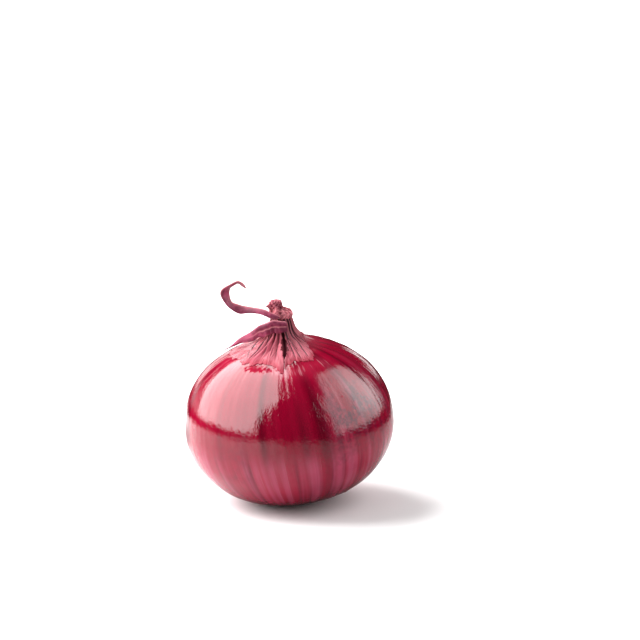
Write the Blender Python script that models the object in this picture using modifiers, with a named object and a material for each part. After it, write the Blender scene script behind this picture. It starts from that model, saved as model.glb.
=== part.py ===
# Red onion standing on its root end: a turned bulb with a pleated neck, the torn papery skin round the neck,
# the twisted dry neck itself, two dry leaves that come from it, and the root plate with its tuft of roots.
# Metres, +Z up. The origin is the middle of the flat spot that it rests on, and the front faces -Y.
# The pieces are modelled upright round the bulb's own axis and hang on one empty, which tips them.

import math
import random

import bmesh
import bpy
import numpy as np
from mathutils import Matrix

# Driving dimensions
BULB_WIDTH = 0.084
TILT_TO_FRONT = math.radians(5)
LEAN_TO_LEFT = math.radians(4)
FLAT_SPOT_DEPTH = 0.0014
GAP = 0.0003
SKIN_THICKNESS = 0.0006
LEAF_THICKNESS = 0.0007
ROOT_RADIUS = 0.0003
ROOT_COUNT = 16

# The outline and the places below are in parts of an 84th of the width, which is a millimetre at full size.
UNIT = BULB_WIDTH / 84

# Radius and height from the tip of the neck down the outside to the middle of the root end
OUTLINE = [
    (0, 40.9), (2.6, 40.8), (3.9, 39.9), (4.8, 37.4), (6.6, 34.9), (9.6, 33.1), (13.5, 31.4), (18.5, 29.8),
    (24, 27.4), (29.7, 23.7), (35.3, 18.3), (39.7, 10.8), (41.7, 2.5), (41.8, -5.4), (39.2, -13.4),
    (34.3, -20.4), (27.3, -26.1), (19.3, -29.8), (13, -32.0), (9.5, -33.1), (6.5, -33.1), (4.4, -31.7),
    (0, -31.2),
]
BULB_SIDES = 96
FINEST_ROW = 1.6
ROW_GROWTH = 0.1

# The relief of the skin: how many folds go round, how deep they are, and the radii between which they fade
PLEATS = 18
PLEAT_DEPTH = 0.34
PLEAT_FADE = (23, 9)
NECK_TIP_FADE = (0.6, 3.2)
VEINS = 24
VEIN_DEPTH = 0.13
VEIN_FADE = (12, 26)
VEIN_TWIST = -math.radians(5) / 32
GATHERS = 20
GATHER_DEPTH = 0.16
GATHER_FADE = (20, 10)
ROOT_TIP_FADE = (2, 7)
LOBE_DEPTH = 0.18
LOBE_FADE = (6, 30)
UPPER_HALF = (0, 8)

# The left shoulder is fuller than the rest: the swelling's longitude and radius, its height and its reach
FULL_SIDE = -math.radians(100)
FULL_SIDE_HALF_ANGLE = 0.7
FULL_SIDE_RADIUS = 34
FULL_SIDE_BREADTH = 12
FULL_SIDE_DEPTH = 0.55

# The hollow under the bulb by which the roots leave their dent, on the side that tips off the floor
ROOT_SIDE = math.radians(141)
WAY_OUT_DEPTH = 1.6
WAY_OUT_HALF_ANGLE = 0.85
WAY_OUT_START = (2.5, 6)
WAY_OUT_END = (17, 9)

COLOURS = {
    "bulb": (0.32, 0.006, 0.030),
    "papery_skin": (0.66, 0.27, 0.30),
    "dry_neck": (0.52, 0.19, 0.21),
    "dry_leaf": (0.23, 0.045, 0.075),
    "roots": (0.60, 0.44, 0.22),
}
ROUGHNESS = {"bulb": 0.25, "papery_skin": 0.6, "dry_neck": 0.7, "dry_leaf": 0.55, "roots": 0.8}


def clear_scene():
    for thing in list(bpy.data.objects):
        bpy.data.objects.remove(thing)


def new_collection(name, helper=False):
    collection = bpy.data.collections.new(name)
    collection.hide_render = helper
    bpy.context.scene.collection.children.link(collection)
    return collection


def material(name):
    made = bpy.data.materials.new(name)
    made.use_nodes = True
    shader = made.node_tree.nodes["Principled BSDF"]
    shader.inputs["Base Color"].default_value = (*COLOURS[name], 1)
    shader.inputs["Roughness"].default_value = ROUGHNESS[name]
    shader.inputs["Metallic"].default_value = 0
    return made


def ramp(value, start, end):
    """0 before start, 1 after end and smooth between them. A start above the end makes it fall."""
    share = np.clip((value - start) / (end - start), 0, 1)
    return share * share * (3 - 2 * share)


def angle_between(a, b):
    """The signed angle from b to a, from -pi to pi."""
    return np.angle(np.exp(1j * (a - b)))


def spline(points, shares):
    """The smooth curve through points, read at shares of its way from 0 to 1."""
    knots = np.array(points, float)
    knots = np.vstack([2 * knots[0] - knots[1], knots, 2 * knots[-1] - knots[-2]])
    way = np.clip(np.asarray(shares, float), 0, 1) * (len(points) - 1)
    span = np.minimum(way.astype(int), len(points) - 2)
    t = (way - span)[..., None]
    a, b, c, d = (knots[span + step] for step in range(4))
    curve = 2 * b + (c - a) * t + (2 * a - 5 * b + 4 * c - d) * t**2 + (3 * b - a - 3 * c + d) * t**3
    return 0.5 * curve


def measured_outline():
    """The outline's fine points, the way along it to each, and its outward directions."""
    points = spline(OUTLINE, np.linspace(0, 1, 12 * len(OUTLINE)))
    steps = np.hypot(*np.diff(points, axis=0).T)
    way = np.concatenate([[0], np.cumsum(steps)])
    along = np.gradient(points, way, axis=0)
    outward = np.stack([-along[:, 1], along[:, 0]], 1)
    return points, way, outward / np.hypot(*outward.T)[:, None]


POINTS, WAY, OUTWARD = measured_outline()
WIDEST = int(POINTS[:, 0].argmax())


def way_to_top(radius):
    """The way along the outline to a radius on the upper side of the bulb."""
    return np.interp(radius, POINTS[:WIDEST, 0], WAY[:WIDEST])


def way_to_underside(radius):
    return np.interp(radius, POINTS[WIDEST:, 0][::-1], WAY[WIDEST:][::-1])


def relief(longitude, radius, height):
    """How far the skin stands out of the turned outline: neck pleats, veins, root gathers and swellings."""
    wander = np.sin(3 * longitude + 0.7) + 0.6 * np.sin(5 * longitude + 2.1)
    upper = ramp(height, *UPPER_HALF)
    pleats = PLEAT_DEPTH * np.cos(PLEATS * longitude + 0.8 * wander) * ramp(radius, *PLEAT_FADE)
    pleats = pleats * ramp(radius, *NECK_TIP_FADE) * upper
    turned = longitude - VEIN_TWIST * height
    veins = VEIN_DEPTH * np.cos(VEINS * turned + wander) * ramp(radius, *VEIN_FADE)
    gathers = GATHER_DEPTH * np.cos(GATHERS * longitude + wander) * ramp(radius, *GATHER_FADE)
    gathers = gathers * ramp(radius, *ROOT_TIP_FADE) * (1 - upper)
    lobes = LOBE_DEPTH * (np.cos(2 * longitude + 0.6) + np.cos(3 * longitude + 2.4))
    lobes = lobes * ramp(radius, *LOBE_FADE)
    from_full = angle_between(longitude, FULL_SIDE) / FULL_SIDE_HALF_ANGLE
    from_radius = (radius - FULL_SIDE_RADIUS) / FULL_SIDE_BREADTH
    fullness = FULL_SIDE_DEPTH * np.exp(-(from_full**2) - from_radius**2)
    from_roots = angle_between(longitude, ROOT_SIDE) / WAY_OUT_HALF_ANGLE
    way_out = WAY_OUT_DEPTH * np.exp(-(from_roots**2)) * ramp(radius, *WAY_OUT_START)
    way_out = way_out * ramp(radius, *WAY_OUT_END)
    return pleats + veins + gathers + lobes + fullness * upper - way_out * (1 - upper)


def skin(longitude, way, lift=0.0):
    """Points of the skin, lift above it, in metres. Longitude 0 is the front and grows towards +X."""
    radius = np.interp(way, WAY, POINTS[:, 0])
    height = np.interp(way, WAY, POINTS[:, 1])
    out = relief(longitude, radius, height) + lift
    radius = radius + out * np.interp(way, WAY, OUTWARD[:, 0])
    height = height + out * np.interp(way, WAY, OUTWARD[:, 1])
    place = [radius * np.sin(longitude), -radius * np.cos(longitude), height]
    return np.stack(np.broadcast_arrays(*place), -1) * UNIT


def resting_matrix():
    """Tips the onion, sinks it by the flat spot's depth and brings the spot's middle to the origin."""
    turn = Matrix.Rotation(-LEAN_TO_LEFT, 4, "Y") @ Matrix.Rotation(TILT_TO_FRONT, 4, "X")
    longitude = np.linspace(0, 2 * math.pi, 360, endpoint=False)
    radius, height = POINTS.T * UNIT
    points = np.stack([np.outer(radius, np.sin(longitude)), -np.outer(radius, np.cos(longitude)),
                       np.outer(height, np.ones_like(longitude))], -1).reshape(-1, 3)
    points = points @ np.array(turn.to_3x3()).T
    area = np.outer(radius * np.gradient(WAY), np.ones_like(longitude)).ravel()
    floor = points[:, 2].min() + FLAT_SPOT_DEPTH
    on_floor = points[:, 2] < floor
    middle = np.average(points[on_floor], axis=0, weights=area[on_floor])
    return Matrix.Translation((-middle[0], -middle[1], -floor)) @ turn


def finish(thing, collection, parent, finish_name):
    thing.data.materials.append(material(finish_name))
    thing.data.shade_smooth()
    collection.objects.link(thing)
    thing.parent = parent


def baked(thing, name):
    """A new object with the mesh that thing shows with its modifiers, and thing removed."""
    bpy.context.view_layer.update()
    shown = thing.evaluated_get(bpy.context.evaluated_depsgraph_get())
    mesh = bpy.data.meshes.new_from_object(shown)
    mesh.name = name
    bpy.data.objects.remove(thing)
    return bpy.data.objects.new(name, mesh)


def turned(name, outline, sides):
    """A profile turned round Z."""
    mesh = bpy.data.meshes.new(name + "_profile")
    edges = [(point, point + 1) for point in range(len(outline) - 1)]
    mesh.from_pydata([(radius, 0, height) for radius, height in outline], edges, [])
    profile = bpy.data.objects.new(name + "_profile", mesh)
    bpy.context.scene.collection.objects.link(profile)
    screw = profile.modifiers.new("turn", "SCREW")
    screw.steps = screw.render_steps = sides
    screw.use_merge_vertices = True
    screw.merge_threshold = 1e-5
    return baked(profile, name)


def move_points(mesh, place):
    """Moves each point of the mesh to place(points)."""
    points = np.empty(len(mesh.vertices) * 3, np.float32)
    mesh.vertices.foreach_get("co", points)
    moved = place(points.reshape(-1, 3).astype(float))
    mesh.vertices.foreach_set("co", moved.astype(np.float32).ravel())
    mesh.update()


def sheet(name, across, along, place):
    """An open sheet whose point at u across and v along, each from 0 to 1, is place(u, v)."""
    net = bmesh.new()
    bmesh.ops.create_grid(net, x_segments=across, y_segments=along, size=0.5)
    bmesh.ops.triangulate(net, faces=net.faces)
    mesh = bpy.data.meshes.new(name)
    net.to_mesh(mesh)
    net.free()
    move_points(mesh, lambda points: place(points[:, 0] + 0.5, points[:, 1] + 0.5))
    return bpy.data.objects.new(name, mesh)


def thicken(thing, thickness, offset):
    solid = thing.modifiers.new("thickness", "SOLIDIFY")
    solid.thickness = thickness
    solid.offset = offset


def row_ways():
    """The ways to the bulb's rows, which are closer together where the outline is slender."""
    ways = [0.0]
    while ways[-1] < WAY[-1]:
        radius = np.interp(ways[-1], WAY, POINTS[:, 0])
        ways.append(ways[-1] + FINEST_ROW + ROW_GROWTH * radius)
    return np.array(ways) * WAY[-1] / ways[-1]


def add_bulb(collection, helpers, parent):
    """The whole bulb as one solid, cut off flat where it rests."""
    ways = row_ways()
    outline = np.stack([np.interp(ways, WAY, column) for column in POINTS.T], 1) * UNIT
    outline[[0, -1], 0] = 0
    bulb = turned("bulb", outline.tolist(), BULB_SIDES)

    def raise_skin(points):
        radius = np.hypot(points[:, 0], points[:, 1]) / UNIT
        height = points[:, 2] / UNIT
        nearest = np.argmin((POINTS[:, :1] - radius) ** 2 + (POINTS[:, 1:] - height) ** 2, axis=0)
        return skin(np.arctan2(points[:, 0], -points[:, 1]), WAY[nearest])

    move_points(bulb.data, raise_skin)
    finish(bulb, collection, parent, "bulb")
    size = BULB_WIDTH
    bpy.ops.mesh.primitive_cube_add(size=size, location=(0, 0, -size / 2))
    floor = bpy.context.object
    floor.name = "floor_cutter"
    floor.display_type = "WIRE"
    floor.hide_render = True
    for place in list(floor.users_collection):
        place.objects.unlink(floor)
    helpers.objects.link(floor)
    cut = bulb.modifiers.new("flat_spot", "BOOLEAN")
    cut.operation = "DIFFERENCE"
    cut.object = floor


# The torn edge of the papery skin: longitude in degrees and the radius that it reaches there
TORN_EDGE = [
    (-180, 13.5), (-150, 17), (-115, 21.5), (-75, 21.5), (-54, 20), (-44, 21.6), (-30, 21.4), (-24, 19.6),
    (-8, 21.2), (2, 25), (9, 21), (23, 20), (35, 20.5), (42, 20), (47, 15.5), (52, 11.5), (60, 8.2),
    (90, 7.4), (125, 10.5), (155, 12), (180, 13.5),
]
TOOTH_DEPTH = 1.3
SPLIT_SIDE = math.radians(3)
SPLIT_HALF_WIDTH = 0.8
SPLIT_SLIT = 0.22
PAPER_TOP_RADIUS = 3.5
PAPER_COLUMNS = 76
PAPER_ROWS = 7


def torn_radius(longitude):
    bearings, radii = np.array(TORN_EDGE, float).T
    edge = np.interp(np.degrees(longitude), bearings, radii)
    teeth = np.sin(23 * longitude + 1.1) * np.cos(9 * longitude) + 0.6 * np.sin(41 * longitude)
    return edge + TOOTH_DEPTH * 0.5 * teeth


def add_papery_skin(collection, parent):
    """The dry outer skin round the neck, with a torn lower edge and a split that gapes at the front."""
    top = way_to_top(PAPER_TOP_RADIUS)

    def place(u, v):
        down = np.clip(1 - v, 0, 1)
        edge = way_to_top(torn_radius(angle_between(SPLIT_SIDE + 2 * math.pi * u, 0)))
        way = top + (edge - top) * down**0.8
        radius = np.interp(way, WAY, POINTS[:, 0])
        half = (SPLIT_SLIT + SPLIT_HALF_WIDTH * np.sin(math.pi * down) ** 2) / radius
        longitude = SPLIT_SIDE + half + (2 * math.pi - 2 * half) * u
        return skin(longitude, way, GAP / UNIT + 0.05)

    paper = sheet("papery_skin", PAPER_COLUMNS, PAPER_ROWS, place)
    thicken(paper, SKIN_THICKNESS, 1)
    finish(paper, collection, parent, "papery_skin")


# The dry neck: radius and height of its core, a wide lobe with a smaller one on top
NECK_CORE = [
    (0, 50.0), (1.7, 49.6), (2.5, 48.5), (2.5, 47.3), (2.3, 46.4), (3.1, 45.6), (4.1, 44.6), (4.2, 43.4),
    (3.4, 42.2), (2.2, 41.5), (0, 41.45),
]
# The core is shallower than it is wide, and above the crook it stands further to the left.
NECK_DEPTH = 0.85
NECK_SIDEWAYS = (-0.1, -1.7)
NECK_CROOK = (44.4, 46.8)
NECK_FORWARD = 0.2
NECK_SIDES = 24
NECK_FOLDS = 5
NECK_FOLD_DEPTH = 0.16
NECK_FOLD_TWIST = 0.35
STRIPS = 6
STRIP_WIDTH = 2.3
STRIP_THICKNESS = 0.0010
STRIP_LEAN = 0.5
STRIP_FOOT = 42.8
STRIP_DROP = 1.6
STRIP_ALONG = 9
STRIP_ACROSS = 2


def neck_axis(height):
    """Where the middle of the dry neck is at a height: across and towards the back."""
    across = NECK_SIDEWAYS[0] + (NECK_SIDEWAYS[1] - NECK_SIDEWAYS[0]) * ramp(height, *NECK_CROOK)
    return across, -NECK_FORWARD


def neck_core():
    fine = spline(NECK_CORE, np.linspace(0, 1, 2 * len(NECK_CORE) - 1)) * UNIT
    fine[[0, -1], 0] = 0
    core = turned("dry_neck", fine.tolist(), NECK_SIDES)

    def fold(points):
        bearing = np.arctan2(points[:, 1], points[:, 0]) + NECK_FOLD_TWIST * points[:, 2] / UNIT
        swell = 1 + NECK_FOLD_DEPTH * np.cos(NECK_FOLDS * bearing)
        across, back = neck_axis(points[:, 2] / UNIT)
        moved = points.copy()
        moved[:, 0] = points[:, 0] * swell + across * UNIT
        moved[:, 1] = points[:, 1] * swell * NECK_DEPTH + back * UNIT
        return moved

    move_points(core.data, fold)
    return core


def neck_strip(number, draw):
    """One strip of dead leaf that winds up round the core and curls away at its tip."""
    start = 2 * math.pi * number / STRIPS + draw.uniform(-0.25, 0.25)
    turn = draw.uniform(0.9, 1.7)
    rise = draw.uniform(4.2, 6.6)
    curl = draw.uniform(0.9, 2.0)
    core_radii, core_heights = zip(*NECK_CORE[-2:0:-1])

    def place(u, v):
        height = STRIP_FOOT + rise * v - STRIP_DROP * ramp(v, 0.72, 1)
        width = STRIP_WIDTH * (1 - 0.75 * ramp(v, 0.5, 1)) * (u - 0.5)
        radius = np.interp(height, core_heights, core_radii) - 0.2 + 0.2 * np.sin(math.pi * u)
        radius = radius + curl * ramp(v, 0.62, 1)
        bearing = start + turn * v + width * math.cos(STRIP_LEAN) / np.maximum(radius, 1)
        across, back = neck_axis(height)
        x = across + radius * np.cos(bearing)
        y = back + radius * np.sin(bearing) * NECK_DEPTH
        return np.stack([x, y, height - width * math.sin(STRIP_LEAN)], -1) * UNIT

    strip = sheet(f"neck_strip_{number}", STRIP_ACROSS, STRIP_ALONG, place)
    thicken(strip, STRIP_THICKNESS, 0)
    return strip


def keep_largest_body(mesh):
    """Fills the hollows that a union has sealed and drops its scraps."""
    net = bmesh.new()
    net.from_mesh(mesh)
    left = set(net.verts)
    bodies = []
    while left:
        body = {left.pop()}
        edge_of_body = set(body)
        while edge_of_body:
            near = {edge.other_vert(vert) for vert in edge_of_body for edge in vert.link_edges}
            edge_of_body = near - body
            body |= near
        left -= body
        bodies.append(body)
    largest = max(bodies, key=len)
    bmesh.ops.delete(net, geom=[vert for vert in net.verts if vert not in largest], context="VERTS")
    net.to_mesh(mesh)
    net.free()


def fuse(thing, others, helpers):
    """Joins the others to thing by one union and removes them."""
    bpy.context.scene.collection.objects.link(thing)
    for other in others:
        helpers.objects.link(other)
    union = thing.modifiers.new("union", "BOOLEAN")
    union.operation = "UNION"
    union.solver = "MANIFOLD"
    union.operand_type = "COLLECTION"
    union.collection = helpers
    fused = baked(thing, thing.name.split(".")[0])
    for other in others:
        bpy.data.objects.remove(other)
    keep_largest_body(fused.data)
    return fused


def add_dry_neck(collection, parent):
    draw = random.Random(5)
    strips = [neck_strip(number, draw) for number in range(STRIPS)]
    together = new_collection("neck_strips")
    neck = fuse(neck_core(), strips, together)
    bpy.data.collections.remove(together)
    finish(neck, collection, parent, "dry_neck")


# The curled leaf: its lower and upper edge from the neck to the hooked tip, how far its middle bellies out,
# and the shares of its way between which it flattens towards the hook
CURL_LOWER = [
    (-0.6, -5.3, 43.5), (-2.9, -5.2, 43.4), (-5.7, -4.2, 44.3), (-8.8, -2.9, 45.5), (-12.7, -1.9, 45.7),
    (-16.3, -1.6, 45.7), (-19.3, -1.5, 47.5), (-21.5, -1.6, 50.2), (-23.1, -1.8, 53.4), (-22.8, -1.8, 55.6),
    (-19.9, -1.0, 57.3), (-16.2, 0.4, 58.3), (-14.0, 1.1, 57.1), (-12.9, 1.6, 55.0),
]
CURL_UPPER = [
    (-0.6, -4.9, 44.2), (-3.0, -4.2, 45.5), (-5.9, -2.8, 46.7), (-9.0, -1.0, 47.2), (-12.6, 0.3, 47.5),
    (-15.7, 1.0, 48.3), (-18.4, 1.6, 49.1), (-19.5, 2.0, 50.6), (-19.8, 2.3, 53.1), (-19.4, 2.4, 54.9),
    (-18.5, 1.8, 56.0), (-16.2, 1.3, 57.1), (-14.8, 1.5, 56.2), (-13.4, 1.9, 54.8),
]
CURL_BELLY = 1.2
CURL_FLATTENS = (0.85, 0.6)
CURL_ACROSS = 4
CURL_ALONG = 36


def add_curled_leaf(collection, parent):
    """The dry leaf that arches up to the left and hooks over at its tip."""

    def place(u, v):
        lower = spline(CURL_LOWER, v)
        upper = spline(CURL_UPPER, v)
        belly = CURL_BELLY * 4 * u * (1 - u) * np.sin(math.pi * np.clip(v, 0, 1)) ** 0.6
        belly = belly * ramp(v, *CURL_FLATTENS)
        waves = 0.25 * np.sin(9 * v + 4 * u)
        middle = lower + (upper - lower) * u[:, None]
        middle[:, 1] -= belly - waves * u
        middle[:, 2] -= 0.45 * belly
        return middle * UNIT

    leaf = sheet("dry_leaf_curled", CURL_ACROSS, CURL_ALONG, place)
    thicken(leaf, LEAF_THICKNESS, 0)
    finish(leaf, collection, parent, "dry_leaf")


# The leaf on the shoulder: its free edge, from the front of the neck round to the left and down, and the
# longitude and radius of the line where it lies on the skin
SHOULDER_FREE = [
    (1.6, -5.3, 41.8), (0.6, -5.8, 42.4), (-0.9, -6.1, 43.0), (-2.6, -6.0, 43.1), (-4.4, -5.4, 42.8),
    (-6.6, -3.9, 41.5), (-9.2, -1.5, 39.6), (-12.5, 1.6, 36.9), (-15.7, 3.6, 34.6), (-18.3, 4.4, 32.9),
    (-21.0, 5.0, 30.7), (-23.0, 5.4, 28.9),
]
SHOULDER_ROOT = [
    (20, 4.6), (8, 4.8), (-4, 4.9), (-18, 5.0), (-36, 5.1), (-62, 6.2), (-84, 8.8), (-94, 12.0), (-99, 15.4),
    (-102, 18.4), (-103, 21.2), (-104, 23.6),
]
SHOULDER_LIFT = 1.55
SHOULDER_ACROSS = 3
SHOULDER_ALONG = 30


def add_shoulder_leaf(collection, parent):
    """The dry leaf that wraps the neck's front and stands on edge along the left shoulder."""

    def place(u, v):
        bearing, radius = spline(SHOULDER_ROOT, v).T
        foot = skin(np.radians(bearing), way_to_top(radius), SHOULDER_LIFT)
        free = spline(SHOULDER_FREE, v) * UNIT
        end = 1 - 0.7 * ramp(v, 0.85, 1)
        across = (u * end)[:, None]
        return foot + (free - foot) * across

    leaf = sheet("dry_leaf_shoulder", SHOULDER_ACROSS, SHOULDER_ALONG, place)
    thicken(leaf, LEAF_THICKNESS, 0)
    finish(leaf, collection, parent, "dry_leaf")


# The root plate sits in the dent of the root end: radius and height of its outline
ROOT_PLATE = [(0, -31.6), (2.6, -31.7), (3.7, -31.95), (3.5, -32.15), (0, -32.2)]
ROOT_PLATE_MIDDLE = -31.9
ROOT_PLATE_SIDES = 20

# The roots fan out from the plate to ROOT_SIDE and run between the floor and the underside of the bulb.
ROOT_FAN = math.radians(38)
ROOT_START = 2.4
ROOT_REACH = (11, 23)
ROOT_SWAY = 0.3
ROOT_CURL = 0.1
ROOT_CLEARANCE = GAP / UNIT + 0.25
ROOT_TAPER = 0.35
ROOT_POINTS = 7


def root_line(number, draw, rest):
    """The points of one root and the way along it to each, in the upright onion."""
    bearing = ROOT_SIDE + ROOT_FAN * (2 * (number + 0.5) / ROOT_COUNT - 1)
    reach = draw.uniform(*ROOT_REACH)
    sway = draw.uniform(-ROOT_SWAY, ROOT_SWAY)
    phase = draw.uniform(0, 2 * math.pi)
    climb = draw.uniform(0.05, 0.55)
    v = np.linspace(0, 1, ROOT_POINTS)
    radius = ROOT_START + (reach - ROOT_START) * v
    longitude = bearing + sway * v + ROOT_CURL * np.sin(5 * v + phase) * v
    matrix = np.array(rest)
    line = skin(longitude, way_to_underside(radius), ROOT_CLEARANCE) @ matrix[:3, :3].T + matrix[:3, 3]
    lowest = GAP + ROOT_RADIUS
    room = np.maximum(line[:, 2] - ROOT_RADIUS - lowest, 0)
    line[:, 2] = lowest + room * climb * np.sin(0.8 * math.pi * v) * ramp(v, 0, 0.5)
    plate_height = (rest @ Matrix.Translation((0, 0, ROOT_PLATE_MIDDLE * UNIT))).translation.z
    line[:, 2] += (plate_height - line[:, 2]) * ramp(v, 0.12, 0)
    return (line - matrix[:3, 3]) @ matrix[:3, :3], v


def root(number, draw, rest):
    """One root as a tapering tube, made a mesh with its caps closed."""
    points, way = root_line(number, draw, rest)
    line = bpy.data.curves.new(f"root_{number}", "CURVE")
    line.dimensions = "3D"
    line.bevel_depth = ROOT_RADIUS
    line.bevel_resolution = 1
    line.use_fill_caps = True
    strand = line.splines.new("POLY")
    strand.points.add(ROOT_POINTS - 1)
    for point, place, along in zip(strand.points, points, way):
        point.co = (*place, 1)
        point.radius = 1 - ROOT_TAPER * along
    curve = bpy.data.objects.new(f"root_{number}", line)
    bpy.context.scene.collection.objects.link(curve)
    solid = baked(curve, f"root_{number}")
    net = bmesh.new()
    net.from_mesh(solid.data)
    bmesh.ops.remove_doubles(net, verts=net.verts, dist=1e-5)
    net.to_mesh(solid.data)
    net.free()
    return solid


def add_roots(collection, parent, rest):
    draw = random.Random(11)
    strands = [root(number, draw, rest) for number in range(ROOT_COUNT)]
    together = new_collection("root_strands")
    outline = [(radius * UNIT, height * UNIT) for radius, height in ROOT_PLATE]
    plate = turned("roots", outline, ROOT_PLATE_SIDES)
    tuft = fuse(plate, strands, together)
    bpy.data.collections.remove(together)
    finish(tuft, collection, parent, "roots")


def main():
    clear_scene()
    onion = new_collection("onion")
    helpers = new_collection("cutters", helper=True)
    rest = resting_matrix()
    pose = bpy.data.objects.new("resting_pose", None)
    pose.matrix_world = rest
    onion.objects.link(pose)
    add_bulb(onion, helpers, pose)
    add_papery_skin(onion, pose)
    add_dry_neck(onion, pose)
    add_curled_leaf(onion, pose)
    add_shoulder_leaf(onion, pose)
    add_roots(onion, pose, rest)


main()
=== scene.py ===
import math

import bmesh
import bpy
import numpy as np
from mathutils import Euler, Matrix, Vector


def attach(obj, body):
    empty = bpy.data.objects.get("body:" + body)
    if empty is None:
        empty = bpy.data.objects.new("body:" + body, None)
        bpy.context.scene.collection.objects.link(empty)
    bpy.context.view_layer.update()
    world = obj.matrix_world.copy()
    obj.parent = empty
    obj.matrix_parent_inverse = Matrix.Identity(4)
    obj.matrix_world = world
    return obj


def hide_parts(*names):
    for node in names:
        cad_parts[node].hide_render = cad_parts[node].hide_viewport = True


# A red onion on its root end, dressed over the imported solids.
# All shapes are worked out on the upright onion in parts of an 84th of its width and then tipped as it rests.

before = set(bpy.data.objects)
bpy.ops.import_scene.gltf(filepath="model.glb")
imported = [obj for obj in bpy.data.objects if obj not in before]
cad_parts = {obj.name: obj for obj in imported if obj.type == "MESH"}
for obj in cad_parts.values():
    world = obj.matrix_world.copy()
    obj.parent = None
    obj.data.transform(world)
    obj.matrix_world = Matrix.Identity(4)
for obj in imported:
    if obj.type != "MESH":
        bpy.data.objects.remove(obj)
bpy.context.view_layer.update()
print("frame:", len(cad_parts), "nodes")

onion = {
    "width": 0.084,
    "tiltToFront": math.radians(5),
    "leanToLeft": math.radians(4),
    "flatSpotDepth": 0.0014,
    # radius and height from the tip of the neck down the outside to the middle of the root end
    "outline": [
        (0, 40.9), (2.6, 40.8), (3.9, 39.9), (4.8, 37.4), (6.6, 34.9), (9.6, 33.1), (13.5, 31.4),
        (18.5, 29.8), (24, 27.4), (29.7, 23.7), (35.3, 18.3), (39.7, 10.8), (41.7, 2.5), (41.8, -5.4),
        (39.2, -13.4), (34.3, -20.4), (27.3, -26.1), (19.3, -29.8), (13, -32.0), (9.5, -33.1),
        (6.5, -33.1), (4.4, -31.7), (0, -31.2),
    ],
    "veinTwist": -math.radians(5) / 32,   # radians for each unit of height
    "rootSide": math.radians(141),   # the side that tips off the floor, where the roots come out
}
unit = onion["width"] / 84


def ramp(value, start, end):
    # 0 before start, 1 after end, smooth between; it falls where start is above end
    share = np.clip((value - start) / (end - start), 0, 1)
    return share * share * (3 - 2 * share)


def spline(points, shares):
    # Catmull-Rom curve through points, read at shares of its way
    knots = np.array(points, float)
    knots = np.vstack([2 * knots[0] - knots[1], knots, 2 * knots[-1] - knots[-2]])
    way = np.clip(np.asarray(shares, float), 0, 1) * (len(points) - 1)
    span = np.minimum(way.astype(int), len(points) - 2)
    t = (way - span)[..., None]
    a, b, c, d = (knots[span + step] for step in range(4))
    return 0.5 * (2 * b + (c - a) * t + (2 * a - 5 * b + 4 * c - d) * t**2 + (3 * b - a - 3 * c + d) * t**3)


def angleBetween(a, b):
    # the signed angle from b to a, from -pi to pi
    return np.angle(np.exp(1j * (a - b)))


def ripples(seed, longitude, down, around, along, count=9):
    # a sum of count sine waves with whole numbers of turns round the onion, so it has no seam; about -1 to 1
    draw = np.random.default_rng(seed)
    total = np.zeros(np.broadcast(longitude, down).shape)
    for _ in range(count):
        turns = draw.integers(around[0], around[1] + 1)
        drift = draw.uniform(-along, along)
        total = total + np.cos(turns * longitude + drift * down + draw.uniform(0, 2 * np.pi))
    return total / math.sqrt(count)


outlinePoints = spline(onion["outline"], np.linspace(0, 1, 12 * len(onion["outline"])))
outlineWay = np.concatenate([[0], np.cumsum(np.hypot(*np.diff(outlinePoints, axis=0).T))])
outlineAlong = np.gradient(outlinePoints, outlineWay, axis=0)
outlineOut = np.stack([-outlineAlong[:, 1], outlineAlong[:, 0]], 1)
outlineOut /= np.hypot(*outlineOut.T)[:, None]
widest = int(outlinePoints[:, 0].argmax())
wayEnd = outlineWay[-1]


def wayToTop(radius):
    return np.interp(radius, outlinePoints[:widest, 0], outlineWay[:widest])


def wayToUnderside(radius):
    return np.interp(radius, outlinePoints[widest:, 0][::-1], outlineWay[widest:][::-1])


def radiusAt(way):
    return np.interp(way, outlineWay, outlinePoints[:, 0])


def heightAt(way):
    return np.interp(way, outlineWay, outlinePoints[:, 1])


relief = {
    "pleats": 18, "pleatDepth": 0.34, "gathers": 20, "gatherDepth": 0.16, "lobeDepth": 0.18,
    "veins": 24, "veinDepth": 0.035, "wayOutDepth": 1.6, "wayOutHalfAngle": 0.85,
    "fullSide": -math.radians(100), "fullHalfAngle": 0.7, "fullRadius": 34, "fullBreadth": 12,
    "fullDepth": 0.55,
}


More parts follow.
